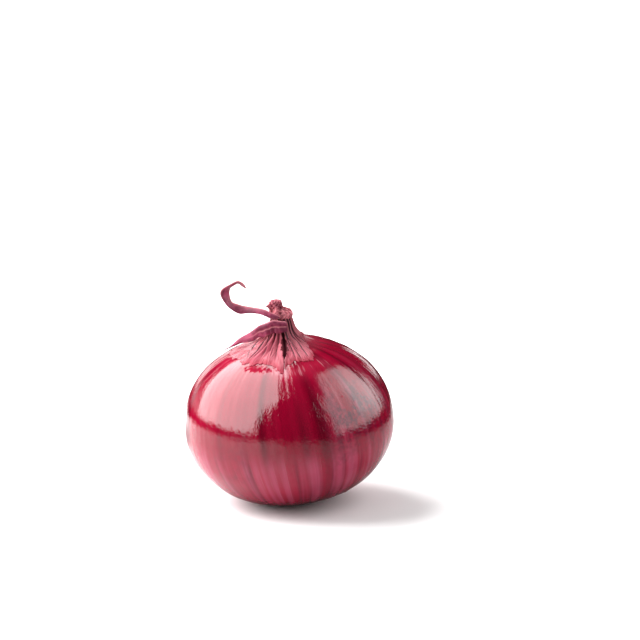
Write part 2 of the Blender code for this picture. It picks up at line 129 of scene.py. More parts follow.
def skinRelief(longitude, way):
    # how far the skin stands out of the turned outline: neck pleats, veins, root gathers, broad lobes, the
    # fuller left shoulder and the hollow by which the roots come out
    radius, height = radiusAt(way), heightAt(way)
    wander = np.sin(3 * longitude + 0.7) + 0.6 * np.sin(5 * longitude + 2.1)
    upper = ramp(height, 0, 8)
    pleats = relief["pleatDepth"] * np.cos(relief["pleats"] * longitude + 0.8 * wander)
    pleats = pleats * ramp(radius, 23, 9) * ramp(radius, 0.6, 3.2) * upper
    turned = longitude - onion["veinTwist"] * height
    veins = relief["veinDepth"] * np.cos(relief["veins"] * turned + wander) * ramp(radius, 12, 26)
    gathers = relief["gatherDepth"] * np.cos(relief["gathers"] * longitude + wander)
    gathers = gathers * ramp(radius, 20, 10) * ramp(radius, 2, 7) * (1 - upper)
    lobes = np.cos(2 * longitude + 0.6) + np.cos(3 * longitude + 2.4)
    lobes = relief["lobeDepth"] * lobes * ramp(radius, 6, 30)
    fromFull = angleBetween(longitude, relief["fullSide"]) / relief["fullHalfAngle"]
    fullness = np.exp(-(fromFull**2) - ((radius - relief["fullRadius"]) / relief["fullBreadth"]) ** 2)
    fullness = relief["fullDepth"] * fullness * upper
    fromRoots = angleBetween(longitude, onion["rootSide"]) / relief["wayOutHalfAngle"]
    wayOut = relief["wayOutDepth"] * np.exp(-(fromRoots**2)) * ramp(radius, 2.5, 6) * ramp(radius, 17, 9)
    return pleats + veins + gathers + lobes + fullness - wayOut * (1 - upper)


def skin(longitude, way, lift=0.0):
    # points of the skin on the upright onion: radius and height along the outline, moved out by relief + lift
    out = skinRelief(longitude, way) + lift
    radius = radiusAt(way) + out * np.interp(way, outlineWay, outlineOut[:, 0])
    height = heightAt(way) + out * np.interp(way, outlineWay, outlineOut[:, 1])
    place = [radius * np.sin(longitude), -radius * np.cos(longitude), height]
    return np.stack(np.broadcast_arrays(*place), -1)


def restingPlace():
    # the turn of the tipped onion and the shift that brings the middle of its flat spot to the origin
    ct, st = math.cos(onion["tiltToFront"]), math.sin(onion["tiltToFront"])
    cl, sl = math.cos(onion["leanToLeft"]), math.sin(onion["leanToLeft"])
    turn = np.array([[cl, 0, -sl], [0, 1, 0], [sl, 0, cl]]) @ np.array([[1, 0, 0], [0, ct, -st], [0, st, ct]])
    longitude = np.linspace(0, 2 * np.pi, 360, endpoint=False)
    radius, height = outlinePoints.T * unit
    points = np.stack([np.outer(radius, np.sin(longitude)), -np.outer(radius, np.cos(longitude)),
                       np.outer(height, np.ones_like(longitude))], -1).reshape(-1, 3) @ turn.T
    area = np.outer(radius * np.gradient(outlineWay), np.ones_like(longitude)).ravel()
    floor = points[:, 2].min() + onion["flatSpotDepth"]
    onFloor = points[:, 2] < floor
    middle = np.average(points[onFloor], axis=0, weights=area[onFloor])
    return turn, np.array([-middle[0], -middle[1], -floor])


turn, shift = restingPlace()


def atRest(points):
    # from units on the upright onion to metres where it rests
    return points * unit @ turn.T + shift


# Meshes from grids of points
def surface(name, points, wrap=False, poles=False, lines=None):
    # one quad for each cell of a grid of points (rows, columns, 3); wrap joins the last column to the first
    rows, columns = points.shape[:2]
    across = columns if wrap else columns - 1
    row, column = np.meshgrid(np.arange(rows - 1), np.arange(across), indexing="ij")
    nextColumn = (column + 1) % columns
    corners = [row * columns + column, row * columns + nextColumn, (row + 1) * columns + nextColumn,
               (row + 1) * columns + column]
    quads = np.stack(corners, -1).reshape(-1, 4)
    mesh = bpy.data.meshes.new(name)
    mesh.vertices.add(rows * columns)
    mesh.vertices.foreach_set("co", points.astype(np.float32).ravel())
    mesh.loops.add(quads.size)
    mesh.loops.foreach_set("vertex_index", quads.astype(np.int32).ravel())
    mesh.polygons.add(len(quads))
    mesh.polygons.foreach_set("loop_start", np.arange(0, quads.size, 4, dtype=np.int32))
    mesh.update(calc_edges=True)
    spread = np.stack([column / across, row / (rows - 1)], -1)
    step = np.array([[0, 0], [1 / across, 0], [1 / across, 1 / (rows - 1)], [0, 1 / (rows - 1)]])
    uv = (spread[..., None, :] + step).reshape(-1, 2)
    mesh.uv_layers.new(name="surface").data.foreach_set("uv", uv.astype(np.float32).ravel())
    for label, values in (lines or {}).items():
        kind = "FLOAT_VECTOR" if values.ndim == 3 else "FLOAT"
        field = "vector" if values.ndim == 3 else "value"
        mesh.attributes.new(label, kind, "POINT").data.foreach_set(field, values.astype(np.float32).ravel())
    if poles:
        net = bmesh.new()
        net.from_mesh(mesh)
        bmesh.ops.remove_doubles(net, verts=net.verts, dist=1e-7)
        net.to_mesh(mesh)
        net.free()
    mesh.shade_smooth()
    return mesh


def streaks(longitude, way):
    # a place on a cylinder that is one wide, with the way along the skin as its height: patterns stretched
    # along the height run from neck to root without a seam
    turned = longitude - onion["veinTwist"] * heightAt(way)
    return np.stack(np.broadcast_arrays(np.sin(turned), -np.cos(turned), way), -1)


def addPiece(name, mesh, slot, material, *nodes):
    piece = bpy.data.objects.new(name, mesh)
    bpy.context.scene.collection.objects.link(piece)
    piece.data.materials.append(material)
    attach(piece, "root")
    if nodes:
        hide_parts(*nodes)
    return piece


def joined(name, meshes):
    # several meshes as one
    net = bmesh.new()
    for mesh in meshes:
        net.from_mesh(mesh)
    whole = bpy.data.meshes.new(name)
    net.to_mesh(whole)
    net.free()
    whole.shade_smooth()
    return whole


def thicken(piece, thickness, offset):
    wall = piece.modifiers.new("wall", "SOLIDIFY")
    wall.thickness = thickness
    wall.offset = offset
    wall.use_rim = True


# Material nodes
def newMaterial(name, roughness, ior=1.5):
    material = bpy.data.materials.new(name)
    material.use_nodes = True
    tree = material.node_tree
    shader = tree.nodes["Principled BSDF"]
    shader.inputs["Roughness"].default_value = roughness
    shader.inputs["IOR"].default_value = ior
    return material, tree, shader


def addNode(tree, kind, inputs=None, **settings):
    node = tree.nodes.new(kind)
    for name, value in settings.items():
        setattr(node, name, value)
    for name, value in (inputs or {}).items():
        if isinstance(value, bpy.types.NodeSocket):
            tree.links.new(value, node.inputs[name])
        else:
            node.inputs[name].default_value = value
    return node


def attribute(tree, name, output="Fac"):
    return addNode(tree, "ShaderNodeAttribute", attribute_name=name).outputs[output]


def streakNoise(tree, around, along, detail=2.0, roughness=0.5):
    # noise with about `around` cells round the onion and `along` cells for each unit of way
    place = addNode(tree, "ShaderNodeVectorMath", {0: attribute(tree, "streak", "Vector"),
                    1: (around / (2 * math.pi), around / (2 * math.pi), along)}, operation="MULTIPLY")
    noise = addNode(tree, "ShaderNodeTexNoise", {"Vector": place.outputs[0], "Scale": 1.0, "Detail": detail,
                    "Roughness": roughness})
    return noise.outputs["Fac"]


def placeNoise(tree, scale, detail=2.0):
    place = addNode(tree, "ShaderNodeTexCoord").outputs["Object"]
    noise = addNode(tree, "ShaderNodeTexNoise", {"Vector": place, "Scale": scale, "Detail": detail})
    return noise.outputs["Fac"]


def band(tree, value, low, high, toLow=0.0, toHigh=1.0):
    return addNode(tree, "ShaderNodeMapRange", {"Value": value, "From Min": low, "From Max": high,
                   "To Min": toLow, "To Max": toHigh}, interpolation_type="SMOOTHSTEP").outputs["Result"]


def times(tree, a, b):
    return addNode(tree, "ShaderNodeMath", {0: a, 1: b}, operation="MULTIPLY").outputs[0]


def plus(tree, a, b):
    return addNode(tree, "ShaderNodeMath", {0: a, 1: b}, operation="ADD").outputs[0]


def larger(tree, a, b):
    return addNode(tree, "ShaderNodeMath", {0: a, 1: b}, operation="MAXIMUM").outputs[0]


def measure(tree, operation, *vectors):
    # the length of a vector, or the distance or dot product of two
    node = addNode(tree, "ShaderNodeVectorMath", dict(enumerate(vectors)), operation=operation)
    return node.outputs["Value"]


def blend(tree, share, a, b):
    node = addNode(tree, "ShaderNodeMix", data_type="RGBA")
    for name, value in ((0, share), (6, a), (7, b)):
        if isinstance(value, bpy.types.NodeSocket):
            tree.links.new(value, node.inputs[name])
        else:
            node.inputs[name].default_value = value if name == 0 else (*value, 1)
    return node.outputs[2]


def setColour(tree, shader, colour):
    tree.links.new(colour, shader.inputs["Base Color"])


def addBump(tree, shader, height, distance):
    bump = addNode(tree, "ShaderNodeBump", {"Height": height, "Distance": distance, "Strength": 1.0})
    tree.links.new(bump.outputs[0], shader.inputs["Normal"])


# Bulb
bulb = {
    "columns": 430, "rows": 224,
    "crimson": (0.225, 0.0008, 0.0165), "deep": (0.105, 0.0006, 0.0085), "purple": (0.075, 0.0030, 0.0180),
    "rose": (0.420, 0.050, 0.105), "pale": (0.50, 0.13, 0.18),
    # the next colour is painted light: the red of the lower half, lit and mirrored by the bright floor
    "paintedFloorLightRed": (0.330, 0.0090, 0.0380),
    # the last colour on the next line is painted shade: the skin seen down the split of the papery skin
    "neckPink": (0.30, 0.045, 0.070), "rootBrown": (0.060, 0.018, 0.012), "paintedSplitShade": (0.020, 0.002, 0.004),
    "roughness": 0.065, "dullRoughness": 0.6, "specular": 0.5, "dullSpecular": 0.05, "ior": 1.47,
    "bump": 0.000072, "fineRibDepth": 0.012, "dimpleDepth": 0.035,
    # longitude in degrees, height and their reaches: where the skin is mottled purple
    "mottled": [(48, 13, 19, 12, 1.0), (30, 5, 12, 13, 0.5), (-33, -6, 10, 12, 0.35), (100, 5, 30, 20, 0.6),
                (-140, 0, 34, 22, 0.6), (170, 8, 26, 18, 0.7)],
    # longitude in degrees, radius and their reaches: the red skin bared below the torn papery skin
    "bared": (-26, 23.2, 20, 1.8),
    # the same and strength: thin pale skin that still clings to the bulb below the torn edge
    "film": [(12, 24.5, 13, 3.4, 0.55), (-2, 24.5, 8, 3.6, 0.9), (-14, 23.5, 8, 2.5, 0.5),
             (30, 22.5, 14, 3.2, 0.5), (44, 24, 7, 4.0, 0.35), (-70, 23.5, 22, 3.5, 0.5),
             (160, 17, 40, 3.5, 0.5), (105, 10, 40, 3.0, 0.5)],
    "filmPink": (0.40, 0.125, 0.155), "filmRed": (0.42, 0.020, 0.055),
}


def bulbMaterial():
    material, tree, shader = newMaterial("glossyOnionSkin", bulb["roughness"], bulb["ior"])
    way = addNode(tree, "ShaderNodeSeparateXYZ", {0: attribute(tree, "streak", "Vector")}).outputs["Z"]
    mottled = attribute(tree, "mottled")
    lower = band(tree, way, 60, 74)
    # broad soft bands, then stripes, then hairlines, all from neck to root
    bands = streakNoise(tree, 34, 0.008, 1.0)
    colour = blend(tree, band(tree, bands, 0.46, 0.68), bulb["crimson"], bulb["deep"])
    # painted light: the lower half is painted redder for the light of the bright floor beneath
    redder = times(tree, lower, band(tree, bands, 0.75, 0.40, 0.55, 1.0))
    colour = blend(tree, redder, colour, bulb["paintedFloorLightRed"])
    stripes = streakNoise(tree, 74, 0.010, 1.5, 0.6)
    purple = plus(tree, band(tree, lower, 0, 1, 0.05, 0.50), times(tree, mottled, 0.75))
    colour = blend(tree, times(tree, band(tree, stripes, 0.50, 0.68), purple), colour, bulb["purple"])
    lights = streakNoise(tree, 62, 0.010, 1.5)
    # the rose and pale streaks grow towards the root as painted light from the bright floor, and in the
    # mottled patches as tone
    rosy = plus(tree, band(tree, lower, 0, 1, 0.04, 1.0), times(tree, mottled, 0.5))
    colour = blend(tree, times(tree, band(tree, lights, 0.42, 0.70), rosy), colour, bulb["rose"])
    hair = streakNoise(tree, 420, 0.030, 2.0)
    colour = blend(tree, times(tree, band(tree, hair, 0.58, 0.80, 0.0, 0.30), rosy), colour, bulb["pale"])
    fine = streakNoise(tree, 260, 0.025, 2.0)
    wide = band(tree, way, 30, 48)
    colour = blend(tree, times(tree, band(tree, fine, 0.50, 0.80, 0.0, 0.25), wide), colour, bulb["deep"])
    # clouds of purple flecks where the skin is mottled
    flecks = placeNoise(tree, 620, 3.0)
    clouds = placeNoise(tree, 150, 2.0)
    share = times(tree, times(tree, band(tree, flecks, 0.28, 0.66), band(tree, clouds, 0.38, 0.54)), mottled)
    colour = blend(tree, share, colour, bulb["purple"])
    colour = blend(tree, band(tree, placeNoise(tree, 30, 2.0), 0.40, 0.75, 0.0, 0.25), colour, bulb["deep"])
    # the clinging film: a soft tint, then streaks
    colour = blend(tree, times(tree, attribute(tree, "film"), 0.55), colour, bulb["filmRed"])
    torn = plus(tree, streakNoise(tree, 170, 0.10, 2.0), times(tree, attribute(tree, "film"), 0.5))
    colour = blend(tree, times(tree, band(tree, torn, 0.78, 1.00), 0.8), colour, bulb["filmPink"])
    colour = blend(tree, times(tree, band(tree, way, 24, 9), 0.7), colour, bulb["neckPink"])
    colour = blend(tree, band(tree, way, wayEnd - 18, wayEnd - 7), colour, bulb["rootBrown"])
    # painted shade: the skin in the split of the papery skin is painted near black
    colour = blend(tree, attribute(tree, "split"), colour, bulb["paintedSplitShade"])
    setColour(tree, shader, colour)
    dull = plus(tree, attribute(tree, "bared"), attribute(tree, "split"))
    roughness = band(tree, dull, 0.0, 1.0, bulb["roughness"], bulb["dullRoughness"])
    tree.links.new(roughness, shader.inputs["Roughness"])
    specular = band(tree, dull, 0.0, 1.0, bulb["specular"], bulb["dullSpecular"])
    tree.links.new(specular, shader.inputs["Specular IOR Level"])
    grain = streakNoise(tree, 330, 0.80, 2.0, 0.6)
    grain = plus(tree, grain, times(tree, streakNoise(tree, 90, 0.16, 1.0), 1.6))
    # smoother by the neck, and rougher round the middle, where the mirrored edges look torn
    middle = times(tree, band(tree, way, 46, 54), band(tree, way, 66, 58))
    rugged = plus(tree, band(tree, way, 26, 46, 0.30, 0.85), times(tree, middle, 0.30))
    addBump(tree, shader, times(tree, grain, rugged), bulb["bump"])
    return material


def patch(longitude, level, spot):
    # a soft round patch at a longitude in degrees and a level, which is a height or a radius
    aside = np.degrees(angleBetween(longitude, math.radians(spot[0]))) / spot[2]
    return np.exp(-(aside**2) - ((level - spot[1]) / spot[3]) ** 2)


def makeBulb():
    # the turned outline with its relief; what would reach below the floor lies on it
    down = np.linspace(0, 1, bulb["rows"])[:, None]
    way = wayEnd * (down - 0.10 * np.sin(2 * np.pi * down) / (2 * np.pi))
    longitude = np.linspace(0, 2 * np.pi, bulb["columns"], endpoint=False)[None, :]
    turned = longitude - onion["veinTwist"] * heightAt(way)
    fineRibs = bulb["fineRibDepth"] * ripples(3, turned, down, (48, 90), 3.0)
    fade = ramp(radiusAt(way), 8, 20)
    dimples = bulb["dimpleDepth"] * ripples(4, longitude, down, (2, 9), 14.0, 12) * fade
    points = atRest(skin(longitude, way, fineRibs * fade + dimples))
    points[..., 2] = np.maximum(points[..., 2], 0)
    radius = radiusAt(way)
    # the split mask paints shade into the skin there and dulls its gloss
    nearSplit = np.exp(-((angleBetween(longitude, splitLongitude(radius)) * radius / 1.2) ** 2))
    nearSplit = nearSplit * ramp(radius, 19, 16) * ramp(radius, 3.5, 5) * ramp(heightAt(way), 10, 20)
    mottled = sum(spot[4] * patch(longitude, heightAt(way), spot) for spot in bulb["mottled"])
    upper = ramp(heightAt(way), 0, 8)
    bared = patch(longitude, radius, bulb["bared"]) * upper
    bared = ramp(bared + 0.25 * ripples(9, longitude, way, (20, 80), 3.0), 0.45, 0.75)
    film = sum(spot[4] * patch(longitude, radius, spot) for spot in bulb["film"]) * upper
    whole = np.broadcast_to(way, points.shape[:2])
    lines = {"streak": streaks(longitude, whole), "split": nearSplit, "mottled": np.clip(mottled, 0, 1),
             "bared": bared, "film": film}
    mesh = surface("bulb", points[:, ::-1], wrap=True, poles=True,
                   lines={label: value[:, ::-1] for label, value in lines.items()})
    addPiece("onionBulb", mesh, "bulb_skin", bulbMaterial(), "bulb")
    print("bulb:", len(mesh.polygons), "faces")


# Papery skin round the neck
paper = {
    # longitude in degrees and the radius that the torn edge reaches there
    "edge": [(-180, 13.5), (-150, 17), (-115, 21.5), (-75, 21.5), (-54, 20.0), (-44, 21.8), (-36, 21.2),
             (-30, 21.7), (-24, 19.4), (-15, 20.6), (-7, 21.2), (-3, 23.0), (2, 24.5), (6, 21.2), (14, 19.4),
             (23, 19.3), (31, 20.0), (38, 20.3), (43, 19.0), (46, 16), (50, 12.5), (54, 9.8), (61, 8.0),
             (90, 7.4), (125, 10.5), (155, 12), (180, 13.5)],
    # longitude in degrees at a radius of 5, 9, 13 and 18, and depth of the folds that show most
    "folds": [(-88, -85, -72, -50, 1.0), (-74, -57, -51, -46, 1.0), (-58, -46, -45, -42, 0.6),
              (16, 22, 22, 22, 0.7), (36, 39, 35, 32, 0.7), (14, 16, 16, 15, 0.6), (-30, -28, -24, -20, 0.5),
              (-44, -38, -33, -30, 0.45), (-14, -13, -12, -10, 0.45), (52, 50, 47, 46, 0.6),
              (-100, -97, -92, -86, 0.6), (66, 58, 54, 50, 0.4)],
    "foldWidth": 0.24, "foldDepth": 0.45,
    # longitude in degrees and half width of the split at these radii
    "splitRadii": (4.7, 7, 10.8, 18.3), "splitAt": (2, 4, 3.5, 0.5), "splitHalf": (0.35, 0.90, 1.55, 0.18),
    "splitRagged": 0.26, "splitSide": math.radians(4),
    # the gathered top runs up into the knot by this much over the first share of its way
    "gather": 1.6, "gatherShare": 0.14,
    "topRadius": 3.2, "columns": 720, "rows": 66, "lift": 0.62, "thickness": 0.00028,
    "toothDepth": 0.55, "creases": 44, "puckerDepth": 0.10, "lipLift": 0.35, "leastLift": 0.12,
    # matt, and glossy where it clings to the left shoulder
    "roughness": (0.5, 0.13), "specular": (0.25, 0.36), "ior": 1.5, "bump": 0.00012,
    "pink": (0.36, 0.080, 0.104), "rose": (0.25, 0.028, 0.052), "grey": (0.36, 0.090, 0.118),
    # the first colour on the next line is painted shade for the folds
    "paintedCreaseShade": (0.040, 0.004, 0.011), "pale": (0.40, 0.16, 0.17),
    # longitude in degrees and half angle of the greyer side
    "greySide": (42, 40),
}


def splitLongitude(radius):
    return np.radians(np.interp(radius, paper["splitRadii"], paper["splitAt"]))


def tornRadius(longitude):
    bearings, radii = np.array(paper["edge"], float).T
    edge = np.interp(np.degrees(longitude), bearings, radii)
    teeth = np.sin(23 * longitude + 1.1) * np.cos(9 * longitude) + 0.6 * np.sin(41 * longitude)
    teeth = teeth + 0.5 * np.sin(97 * longitude + 2) * np.sin(31 * longitude) + 0.3 * np.sin(173 * longitude)
    return edge + paper["toothDepth"] * teeth


def paperFolds(longitude, radius):
    # grooves along lines that fan out from the neck: each sinks by a bell curve of the distance to its line
    groove = np.zeros(np.broadcast(longitude, radius).shape)
    for *places, depth in paper["folds"]:
        line = np.radians(np.interp(radius, (5, 9, 13, 18), places))
        off = angleBetween(longitude, line) * radius
        groove = np.maximum(groove, depth * np.exp(-((off / paper["foldWidth"]) ** 2)) * ramp(radius, 22, 14))
    draw = np.random.default_rng(8)
    for number in range(paper["creases"]):
        start = 2 * np.pi * (number + draw.uniform(-0.3, 0.3)) / paper["creases"]
        drift = draw.uniform(-0.10, 0.10)
        first = draw.choice([0.0, 0.0, 6.0])
        last = draw.uniform(8, 20)
        depth = draw.uniform(0.15, 0.65)
        off = angleBetween(longitude, start + drift * (radius - 4) / 10) * radius
        width = paper["foldWidth"] * draw.uniform(0.6, 1.0)
        reach = ramp(radius, last, last - 4) * ramp(radius, first - 0.1, first + 1.5)
        groove = np.maximum(groove, depth * np.exp(-((off / width) ** 2)) * reach)
    return groove


def paperMaterial():
    material, tree, shader = newMaterial("dryPaperySkin", paper["roughness"][0], paper["ior"])
    gloss = attribute(tree, "gloss")
    tree.links.new(band(tree, gloss, 0.0, 1.0, *paper["roughness"]), shader.inputs["Roughness"])
    tree.links.new(band(tree, gloss, 0.0, 1.0, *paper["specular"]), shader.inputs["Specular IOR Level"])
    lines = streakNoise(tree, 120, 0.07, 3.0, 0.6)
    fine = streakNoise(tree, 300, 0.12, 3.0, 0.6)
    hair = streakNoise(tree, 700, 0.25, 2.0)
    cloud = placeNoise(tree, 160, 4.0)
    colour = blend(tree, band(tree, cloud, 0.36, 0.66), paper["pink"], paper["rose"])
    colour = blend(tree, times(tree, attribute(tree, "grey"), 0.8), colour, paper["grey"])
    colour = blend(tree, band(tree, fine, 0.46, 0.70, 0.0, 0.75), colour, paper["rose"])
    colour = blend(tree, band(tree, hair, 0.55, 0.80, 0.0, 0.5), colour, paper["pale"])
    colour = blend(tree, band(tree, lines, 0.42, 0.28, 0.0, 0.7), colour, paper["pale"])
    colour = blend(tree, band(tree, lines, 0.58, 0.72, 0.0, 0.8), colour, bulb["deep"])
    colour = blend(tree, times(tree, attribute(tree, "edge"), 0.75), colour, bulb["crimson"])
    # painted shade: the folds are painted near black by their depth
    colour = blend(tree, band(tree, attribute(tree, "fold"), 0.14, 0.48), colour, paper["paintedCreaseShade"])
    setColour(tree, shader, colour)
    fibres = plus(tree, plus(tree, fine, times(tree, hair, 0.5)), times(tree, lines, 1.5))
    addBump(tree, shader, fibres, paper["bump"])
    return material


def makePaper():
    # a sheet over the neck and shoulder, the skin's outline moved out by a lift: u runs round from one lip of
    # the split to the other, v from the neck down to the torn edge
    u = np.linspace(0, 1, paper["columns"])[None, :]
    v = np.linspace(0, 1, paper["rows"])[:, None]
    top = wayToTop(paper["topRadius"])
    edge = wayToTop(tornRadius(angleBetween(paper["splitSide"] + 2 * np.pi * u, 0.0)))
    way = top + (edge - top) * v**0.85
    radius = radiusAt(way)
    half = np.interp(radius, paper["splitRadii"], paper["splitHalf"])
    ragged = 1 + paper["splitRagged"] * (np.sin(1.7 * radius) + 0.7 * np.sin(3.6 * radius + 1))
    half = half * ragged / radius
    longitude = splitLongitude(radius) + half + (2 * np.pi - 2 * half) * u
    folds = paperFolds(longitude, radius)
    degrees = np.degrees(angleBetween(longitude, 0.0))
    # the edge turns crimson in front; on the left shoulder it is blotched with crimson and clings glossily
    blotches = ramp(ripples(12, longitude, way, (6, 40), 1.2), -0.2, 0.7) * ramp(v, 0.45, 0.85)
    front = ramp(degrees, -58, -48)
    nearEdge = (ramp(v, 0.80, 1.0) * front + blotches * (1 - front)) * ramp(degrees, 62, 52)
    gloss = ramp(v, 0.30, 0.60) * ramp(degrees, -44, -56) * ramp(degrees, -150, -120)
    grey = np.exp(-(((degrees - paper["greySide"][0]) / paper["greySide"][1]) ** 2))
    lip = np.exp(-(np.minimum(u, 1 - u) * 2 * np.pi * radius / 0.8) ** 2)
    puckers = paper["puckerDepth"] * ripples(6, longitude, way, (20, 60), 0.4) * ramp(radius, 4, 8)
    lift = paper["lift"] + puckers - paper["foldDepth"] * folds
    lift = lift + paper["lipLift"] * lip * ramp(radius, 20, 12)
    lift = np.maximum(lift * (1 - 0.72 * ramp(v, 0.80, 1.0)), paper["leastLift"]) * (1 - 0.5 * gloss)
    points = skin(longitude, way, lift)
    points[..., 2] += paper["gather"] * ramp(v, paper["gatherShare"], 0)
    points = atRest(points)
    # fold carries the depth of the folds, which the material paints as shade
    lines = {"streak": streaks(longitude, way), "fold": folds, "edge": nearEdge, "grey": grey,
             "gloss": gloss}
    mesh = surface("paper", points[::-1], lines={label: value[::-1] for label, value in lines.items()})
    piece = addPiece("paperySkin", mesh, "papery_skin", paperMaterial(), "papery_skin")
    thicken(piece, paper["thickness"], -1)
    print("papery skin:", len(mesh.polygons), "faces")


# Dry neck: a crumpled core in two lobes and strips of dead leaf wound round it
neck = {
    "core": [(0, 50.0), (1.7, 49.6), (2.5, 48.5), (2.5, 47.3), (2.3, 46.4), (3.1, 45.6), (4.1, 44.6),
             (4.2, 43.4), (3.4, 42.2), (2.2, 41.5), (0, 41.45)],
    "depth": 0.85, "sideways": (-0.1, -1.7), "crook": (44.4, 46.8), "forward": 0.2,
    "folds": 5, "foldDepth": 0.10, "foldTwist": 0.35,
    # sharp creases: how many go round, how they lean and how deep they are
    "creases": [(3, 1.5, 0.30), (5, -2.2, 0.24), (9, 3.6, 0.15), (16, -5.0, 0.08)],
    # how far the ridges between them swell it and shift its height, and the ridge height that does neither
    "ridgeSwell": 0.28, "ridgeShift": 0.25, "ridgeMiddle": 0.45,
    "strips": 11, "stripWidth": 1.9, "stripLean": 0.5, "stripFoot": 42.8, "stripRise": (4.0, 6.6),
    "stripDrop": 1.6, "thickness": 0.00045,
    "roughness": 0.55, "ior": 1.45, "specular": 0.25, "bump": 0.00025,
    # pale is partly painted highlight, and maroon is also the painted shade of the hollows
    "dusty": (0.66, 0.180, 0.220), "maroon": (0.15, 0.014, 0.032), "pale": (0.84, 0.46, 0.47),
}


def neckMaterial():
    material, tree, shader = newMaterial("twistedDryNeck", neck["roughness"], neck["ior"])
    shader.inputs["Specular IOR Level"].default_value = neck["specular"]
    crumbs = placeNoise(tree, 900, 4.0)
    patches = placeNoise(tree, 330, 3.0)
    fibres = streakNoise(tree, 60, 0.9, 3.0)
    colour = blend(tree, band(tree, patches, 0.36, 0.60), neck["maroon"], neck["dusty"])
    # pale streaks along the fibres: partly the dry tissue's own pale fibres, partly painted highlight
    colour = blend(tree, band(tree, fibres, 0.50, 0.75, 0.0, 0.8), colour, neck["pale"])
    colour = blend(tree, band(tree, crumbs, 0.32, 0.46, 0.6, 0.0), colour, neck["maroon"])
    # painted shade: maroon is laid into the hollows of the crumpled core and along the middle of each strip
    colour = blend(tree, band(tree, attribute(tree, "paintedNeckShade"), 0.15, 0.75, 0.0, 0.9), colour, neck["maroon"])
    setColour(tree, shader, colour)
    addBump(tree, shader, plus(tree, crumbs, fibres), neck["bump"])
    return material


def neckAxis(height):
    # the lower half stands to the right of the bulb's axis and the upper half to the left
    right, left = neck["sideways"]
    return right + (left - right) * ramp(height, *neck["crook"]), -neck["forward"]


def crumple(bearing, height):
    # ridged waves: each is highest along sharp lines that wind up the neck, hollow between; 0 to 1 in all
    total = sum(depth * (1 - np.abs(np.sin(0.5 * turns * bearing + lean * height + turns)))
                for turns, lean, depth in neck["creases"])
    return total / sum(depth for _, _, depth in neck["creases"])


def neckCore():
    # the core's profile turned round, swollen by folds that wind up it and by sharp creases
    v = np.linspace(0, 1, 150)[:, None]
    bearing = np.linspace(0, 2 * np.pi, 240, endpoint=False)[None, :]
    profile = spline(neck["core"], v[:, 0])
    radius, height = profile[:, :1], profile[:, 1:]
    swell = 1 + neck["foldDepth"] * np.cos(neck["folds"] * (bearing + neck["foldTwist"] * height))
    # an even number of half waves meets itself behind, so the odd ones are doubled there
    ridges = crumple(2 * bearing, height)
    swell = swell + neck["ridgeSwell"] * (ridges - neck["ridgeMiddle"])
    across, back = neckAxis(height)
    x = across + radius * swell * np.cos(bearing)
    y = back + radius * swell * np.sin(bearing) * neck["depth"]
    shifted = height + neck["ridgeShift"] * (ridges - neck["ridgeMiddle"])
    points = np.stack(np.broadcast_arrays(x, y, shifted), -1)
    streak = np.stack(np.broadcast_arrays(np.cos(bearing), np.sin(bearing), height), -1)
    # the hollows between the ridges carry painted shade
    lines = {"streak": streak, "paintedNeckShade": 1 - 2 * ridges}
    return surface("core", atRest(points), wrap=True, poles=True, lines=lines)


def neckStrip(number, draw):
    # a ribbon that winds up round the core and curls away at its tip
    u = np.linspace(0, 1, 11)[None, :]
    v = np.linspace(0, 1, 44)[:, None]
    start = 2 * np.pi * number / neck["strips"] + draw.uniform(-0.25, 0.25)
    turnUp = draw.uniform(0.9, 1.7)
    rise = draw.uniform(*neck["stripRise"])
    curl = draw.uniform(0.2, 1.1)
    coreRadii, coreHeights = zip(*neck["core"][-2:0:-1])
    height = neck["stripFoot"] + rise * v - neck["stripDrop"] * ramp(v, 0.72, 1)
    width = neck["stripWidth"] * (1 - 0.8 * ramp(v, 0.5, 1)) * (u - 0.5)
    radius = np.interp(height, coreHeights, coreRadii) + 0.15 + 0.35 * np.sin(np.pi * u)
    radius = radius + curl * ramp(v, 0.62, 1) + 0.10 * np.sin(9 * v + 5 * u + number)
    bearing = start + turnUp * v + width * math.cos(neck["stripLean"]) / np.maximum(radius, 1)
    across, back = neckAxis(height)
    x = across + radius * np.cos(bearing)
    y = back + radius * np.sin(bearing) * neck["depth"]
    points = np.stack(np.broadcast_arrays(x, y, height - width * math.sin(neck["stripLean"])), -1)
    streak = np.stack(np.broadcast_arrays(u * 3, 0 * v + number, 0.2 * rise * v), -1)
    # painted shade along the middle of the strip
    paintedNeckShade = 0.5 - np.abs(2 * u - 1) + 0 * v
    return surface(f"strip{number}", atRest(points), lines={"streak": streak, "paintedNeckShade": paintedNeckShade})


def thickened(mesh, thickness):
    # the mesh with a wall, worked out at once so that it can be joined
    holder = bpy.data.objects.new("holder", mesh)
    bpy.context.scene.collection.objects.link(holder)
    thicken(holder, thickness, 0)
    bpy.context.view_layer.update()
    solid = bpy.data.meshes.new_from_object(holder.evaluated_get(bpy.context.evaluated_depsgraph_get()))
    bpy.data.objects.remove(holder)
    return solid


def makeNeck():
    draw = np.random.default_rng(5)
    parts = [neckCore()]
    for number in range(neck["strips"]):
        parts.append(thickened(neckStrip(number, draw), neck["thickness"]))
    mesh = joined("dryNeck", parts)
    addPiece("dryNeck", mesh, "dry_neck", neckMaterial(), "dry_neck")
    print("dry neck:", len(mesh.polygons), "faces")


